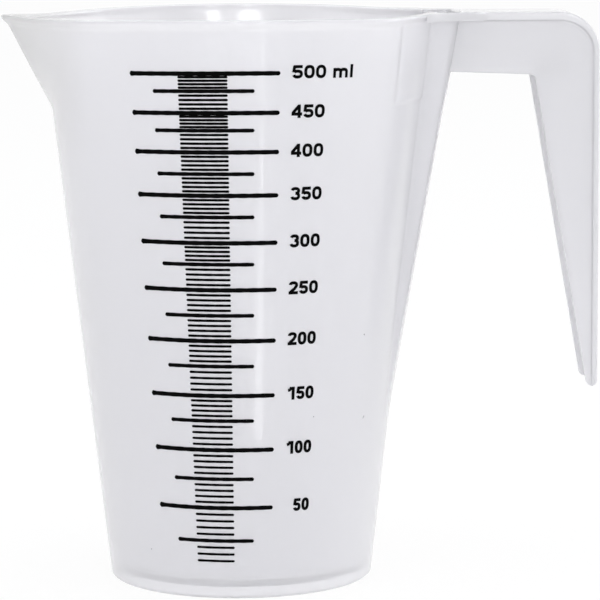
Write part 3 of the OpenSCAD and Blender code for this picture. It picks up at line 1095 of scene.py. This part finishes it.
def math_node(tree: Tree, operation: str, *inputs: object) -> Socket:
    """The result of one operation on sockets or numbers."""
    return add_node(tree, "ShaderNodeMath", dict(enumerate(inputs)), operation=operation).outputs[0]


def fade(tree: Tree, value: Socket, start: float, end: float) -> Socket:
    """A share that goes from 0 to 1 as the value goes from the start to the end, in millimetres."""
    bounds = {"Value": value, "From Min": start * MM, "From Max": end * MM}
    return add_node(tree, "ShaderNodeMapRange", bounds).outputs["Result"]


def mixed(tree: Tree, share: object, first: object, second: object, blend: str = "MIX") -> Socket:
    """The blend of two colors by a share."""
    inputs = {0: share, 6: first, 7: second}
    return add_node(tree, "ShaderNodeMix", inputs, data_type="RGBA", blend_type=blend).outputs[2]


def moulded_surface() -> Tree:
    """The node group for a moulded or printed surface.

    Its color drifts in clouds between the light and the deep color, and its gloss and height
    follow a fine grain. A painted shade darkens it towards the spout's tip, and a painted light
    brightens it towards the table against the shade there.

    Returns:
        The group.
    """
    tree = bpy.data.node_groups.new("moulded_surface", "ShaderNodeTree")
    inputs = {"Vector": "Vector", "Light Color": "Color", "Deep Color": "Color", "Cloud Scale": "Float",
              "Grain Scale": "Float", "Low Roughness": "Float", "High Roughness": "Float",
              "Spout Tint": "Color", "Base Tint": "Color"}
    outputs = {"Color": "Color", "Roughness": "Float", "Height": "Float"}
    for way, sockets in (("INPUT", inputs), ("OUTPUT", outputs)):
        for name, kind in sockets.items():
            tree.interface.new_socket(name=name, in_out=way, socket_type="NodeSocket" + kind)
    come = tree.nodes.new("NodeGroupInput").outputs
    place = come["Vector"]
    clouds = {"Vector": place, "Scale": come["Cloud Scale"], "Detail": 3.0, "Roughness": 0.5,
              "Distortion": 0.6}
    cloud = add_node(tree, "ShaderNodeTexNoise", clouds).outputs["Fac"]
    grains = {"Vector": place, "Scale": come["Grain Scale"], "Detail": 2.0, "Roughness": 0.6}
    grain = add_node(tree, "ShaderNodeTexNoise", grains).outputs["Fac"]
    gloss = {"Value": grain, "To Min": come["Low Roughness"], "To Max": come["High Roughness"]}
    roughness = add_node(tree, "ShaderNodeMapRange", gloss).outputs["Result"]
    grain_share = 0.3
    height = math_node(tree, "MULTIPLY_ADD", grain, grain_share, cloud)
    x, _, z = add_node(tree, "ShaderNodeSeparateXYZ", {0: place}).outputs
    # Painted shade: the color darkens towards the spout's tip, which faces away from the lamps.
    at_spout = math_node(tree, "MULTIPLY", fade(tree, x, -34, -52), fade(tree, z, 95, 115))
    color = mixed(tree, cloud, come["Light Color"], come["Deep Color"])
    color = mixed(tree, at_spout, color, come["Spout Tint"], "MULTIPLY")
    # Painted light: the color brightens towards the table, against the shade near it.
    color = mixed(tree, fade(tree, z, 30, 8), color, come["Base Tint"], "MULTIPLY")
    add_node(tree, "NodeGroupOutput", {"Color": color, "Roughness": roughness, "Height": height})
    return tree


@dataclass(frozen=True)
class Finish:
    """A finish whose color, gloss and height come from the moulded surface group."""

    name: str
    light: tuple[float, float, float]
    deep: tuple[float, float, float]
    cloud_scale: float
    grain_scale: float
    roughness: tuple[float, float]
    bump: float
    bump_depth: float = 0.0002
    ior: float = 1.49
    transmission: float = 0.0
    coat: float = 0.0
    coat_roughness: float = 0.1
    # painted shade, multiplied in towards the spout's tip
    spout_tint: tuple[float, float, float] = (0.82, 0.82, 0.80)
    # painted light, multiplied in towards the table
    base_tint: tuple[float, float, float] = (1.02, 1.02, 1.02)

    def material(self, surface: Tree) -> Material:
        """Makes the material.

        Args:
            surface: the moulded surface group.

        Returns:
            The material.
        """
        made = bpy.data.materials.new(self.name)
        made.use_nodes = True
        tree = made.node_tree
        place = tree.nodes.new("ShaderNodeTexCoord").outputs["Object"]
        low, high = self.roughness
        look = {"Vector": place, "Light Color": (*self.light, 1.0), "Deep Color": (*self.deep, 1.0),
                "Cloud Scale": self.cloud_scale, "Grain Scale": self.grain_scale, "Low Roughness": low,
                "High Roughness": high, "Spout Tint": (*self.spout_tint, 1.0),
                "Base Tint": (*self.base_tint, 1.0)}
        group = add_node(tree, "ShaderNodeGroup", look, node_tree=surface).outputs
        relief = {"Height": group["Height"], "Strength": self.bump, "Distance": self.bump_depth}
        normal = add_node(tree, "ShaderNodeBump", relief).outputs["Normal"]
        shader = find_node(tree, "BSDF_PRINCIPLED")
        feed(tree, shader, {
            "Base Color": group["Color"], "Roughness": group["Roughness"], "Normal": normal,
            "IOR": self.ior, "Transmission Weight": self.transmission, "Coat Weight": self.coat,
            "Coat Roughness": self.coat_roughness})
        return made


@dataclass(frozen=True)
class Lamp:
    """A soft area lamp: its place, its aim, its size in metres, its power, its turn in degrees.

    A hidden lamp shows only in the gloss of what it lights, as a bright part of a table would. A
    mirrored lamp shows in gloss but lights nothing matt, as a distant window would.
    """

    name: str
    place: tuple[float, float, float]
    aim: tuple[float, float, float]
    size: tuple[float, float]
    power: float
    turn: float = 0.0
    hidden: bool = False
    mirrored: bool = False

    def add(self) -> None:
        """Adds the lamp to the scene."""
        data = bpy.data.lights.new(self.name, "AREA")
        data.shape = "RECTANGLE"
        data.size, data.size_y = self.size
        data.energy = self.power
        lamp = new_object(self.name, data)
        lamp.location = self.place
        way = Vector(self.aim) - Vector(self.place)
        aimed = way.to_track_quat("-Z", "Y").to_matrix()
        lamp.rotation_euler = (Matrix.Rotation(self.turn * DEGREE, 3, "Z") @ aimed).to_euler()
        lamp.visible_camera = not self.hidden
        lamp.visible_transmission = not self.hidden
        lamp.visible_diffuse = not self.mirrored


@dataclass
class Studio:
    """The pale floor, the white surroundings, the lamps and the camera."""

    distance: float = 0.7445
    height: float = 0.1653
    yaw: float = 1.100
    pitch: float = 7.665
    roll: float = -0.269
    lens: float = 190.3
    world_level: float = 0.80
    floor_white: float = 0.9
    lamps: tuple[Lamp, ...] = (
        Lamp("left_window", (-1.3, -0.7, 0.6), (0, 0, 0.07), (1.2, 1.0), 3.6),
        Lamp("right_window", (1.4, -0.5, 0.6), (0, 0, 0.07), (1.2, 1.0), 3.3),
        Lamp("right_back_window", (1.5, 0.5, 0.4), (0, 0, 0.07), (1.0, 1.0), 7.0),
        Lamp("top_window", (0.0, -0.1, 1.3), (0, 0, 0.05), (0.8, 0.8), 3.5),
        Lamp("far_strip", (0.275, -1.0, 0.33), (0, 0, 0.13), (0.13, 0.2), 1.1, mirrored=True),
        Lamp("far_window", (-0.14, -1.05, 0.33), (0, 0, 0.13), (0.25, 0.2), 1.6, mirrored=True),
        Lamp("low_strip", (0.073, -0.305, 0.003), (0.073, -0.305, 1.0), (0.013, 0.39), 0.06, 14.6, True),
    )

    def sees_white(self, tree: Tree) -> Socket:
        """Tells the rays that meet the white surroundings.

        Args:
            tree: the node tree.

        Returns:
            1 for camera, glossy and transmission rays.
        """
        rays = tree.nodes.new("ShaderNodeLightPath").outputs
        first = math_node(tree, "MAXIMUM", rays["Is Camera Ray"], rays["Is Glossy Ray"])
        return math_node(tree, "MAXIMUM", first, rays["Is Transmission Ray"])

    def surroundings(self) -> None:
        """The world: white to what is seen, and a plain level to what it lights."""
        world = bpy.data.worlds.new("surroundings")
        bpy.context.scene.world = world
        world.use_nodes = True
        tree = world.node_tree
        tree.nodes.clear()
        lit = {"Color": (0.97, 0.98, 1.0, 1.0), "Strength": self.world_level}
        light = add_node(tree, "ShaderNodeBackground", lit).outputs[0]
        white = add_node(tree, "ShaderNodeBackground", WHITE_LIGHT).outputs[0]
        levels = {0: self.sees_white(tree), 1: light, 2: white}
        mix = add_node(tree, "ShaderNodeMixShader", levels).outputs[0]
        add_node(tree, "ShaderNodeOutputWorld", {"Surface": mix})

    def floor(self) -> None:
        """The pale floor: mostly plain white to what is seen, so that the shadow stays soft."""
        mesh = bpy.data.meshes.new("pale_floor")
        side = 8.0
        corners = [(-side, -side, 0.0), (side, -side, 0.0), (side, side, 0.0), (-side, side, 0.0)]
        mesh.from_pydata(corners, [], [(0, 1, 2, 3)])
        floor = new_object("pale_floor", mesh)
        made = bpy.data.materials.new("floor_paper")
        made.use_nodes = True
        tree = made.node_tree
        leave, paper = find_node(tree, "OUTPUT_MATERIAL"), find_node(tree, "BSDF_PRINCIPLED")
        matt = {"Base Color": (0.99, 0.99, 0.99, 1.0), "Roughness": 0.9, "Specular IOR Level": 0.0}
        feed(tree, paper, matt)
        white = add_node(tree, "ShaderNodeEmission", WHITE_LIGHT).outputs[0]
        share = math_node(tree, "MULTIPLY", self.sees_white(tree), self.floor_white)
        mix = add_node(tree, "ShaderNodeMixShader", {0: share, 1: paper.outputs[0], 2: white}).outputs[0]
        feed(tree, leave, {"Surface": mix})
        floor.data.materials.append(made)

    def camera(self) -> None:
        """The camera: in front of the jug, a little above it, aimed slightly down and right."""
        yaw, pitch, roll = (a * DEGREE for a in (self.yaw, self.pitch, self.roll))
        ahead = Vector((math.sin(yaw) * math.cos(pitch), math.cos(yaw) * math.cos(pitch), -math.sin(pitch)))
        right = Vector((math.cos(yaw), -math.sin(yaw), 0.0))
        up = right.cross(ahead)
        turned = math.cos(roll) * right + math.sin(roll) * up
        upright = turned.cross(ahead)
        data = bpy.data.cameras.new("camera")
        data.sensor_width = 36.0
        data.lens = self.lens
        data.clip_start = 0.01
        data.clip_end = 50.0
        camera = new_object("camera", data)
        axes = Matrix((turned, upright, -ahead)).transposed().to_4x4()
        axes.translation = Vector((0.0, -self.distance, self.height))
        camera.matrix_world = axes
        bpy.context.scene.camera = camera

    def build(self) -> None:
        """Makes the whole studio."""
        bpy.context.scene.view_settings.view_transform = "Standard"
        self.surroundings()
        self.floor()
        self.camera()
        for lamp in self.lamps:
            lamp.add()


MILKY_PLASTIC = Finish("milky_plastic", light=(0.958, 0.953, 0.978), deep=(0.948, 0.943, 0.969),
                       cloud_scale=38.0, grain_scale=220.0, roughness=(0.26, 0.32), bump=0.05,
                       transmission=0.52, coat=0.6)
# Thicker pieces let less light through. Their darker color is painted shade on the hook, the corner web and
# the flares.
THICK_PAINTED_SHADE_PLASTIC = replace(MILKY_PLASTIC, name="thick_painted_shade_plastic", light=(0.915, 0.910, 0.934),
                        deep=(0.905, 0.900, 0.924), transmission=0.42)
BASE_PLASTIC = replace(MILKY_PLASTIC, name="base_milky_plastic", light=(0.965, 0.960, 0.978),
                       deep=(0.957, 0.952, 0.973), transmission=0.08)
# A lighter copy: painted light where the root, the mouth's inside and the handle's channel lie in shade.
SHADE_LIFT_PLASTIC = replace(MILKY_PLASTIC, name="painted_light_milky_plastic", light=(0.985, 0.980, 1.0),
                         deep=(0.978, 0.973, 0.995), transmission=0.55)
# A darker, matt copy: painted shade on the flares' faces that turn towards +X.
FLARE_SHADE_PLASTIC = replace(THICK_PAINTED_SHADE_PLASTIC, name="flare_painted_shade_plastic", light=(0.660, 0.655, 0.675),
                        deep=(0.650, 0.645, 0.665), roughness=(0.5, 0.6), coat=0.0)
# A much darker copy: painted shade along the rim's top, which would otherwise catch the light from above.
RIM_TOP_SHADE_PLASTIC = replace(THICK_PAINTED_SHADE_PLASTIC, name="rim_top_painted_shade_plastic", light=(0.620, 0.615, 0.635),
                       deep=(0.610, 0.605, 0.625))
BLACK_INK = Finish("black_ink", light=(0.001, 0.001, 0.001), deep=(0.003, 0.003, 0.003), cloud_scale=300.0,
                   grain_scale=2500.0, roughness=(0.5, 0.65), bump=0.3, ior=1.08)


def main() -> None:
    """Builds the jug piece by piece, then the studio."""
    logging.basicConfig(level=logging.INFO, format="%(name)s: %(message)s")
    sizes = JugSizes()
    surface = moulded_surface()
    plastic, thick_painted_shade, base, shaded, flare_shade, edge, ink = (finish.material(surface) for finish in (
        MILKY_PLASTIC, THICK_PAINTED_SHADE_PLASTIC, BASE_PLASTIC, SHADE_LIFT_PLASTIC, FLARE_SHADE_PLASTIC, RIM_TOP_SHADE_PLASTIC, BLACK_INK))
    # Of its finishes, shaded is painted light on the root and the mouth's inside, and edge is painted shade
    # on the rim's top.
    settle(Moulding(sizes).build(), Slot.PLASTIC, [plastic, base, shaded, edge], "vessel_wall",
           "vessel_floor", "foot_ring", "rim_bead_front", "rim_bead_back", "pouring_spout", "spout_lip",
           "root_cheek_front", "root_cheek_back", "root_skin", "root_pad_front", "root_pad_back")
    settle(Hook(sizes).build(), Slot.PLASTIC, [thick_painted_shade, shaded], "handle_strap", "handle_cheek_front",
           "handle_cheek_back")
    settle(CornerWeb(sizes).build(), Slot.PLASTIC, [thick_painted_shade], "corner_web")
    settle(Flares(sizes).build(), Slot.PLASTIC, [thick_painted_shade, flare_shade], "strap_flare_front", "strap_flare_back")
    PrintedScale(sizes).build(ink)
    Studio().build()


if __name__ == "__main__":
    main()
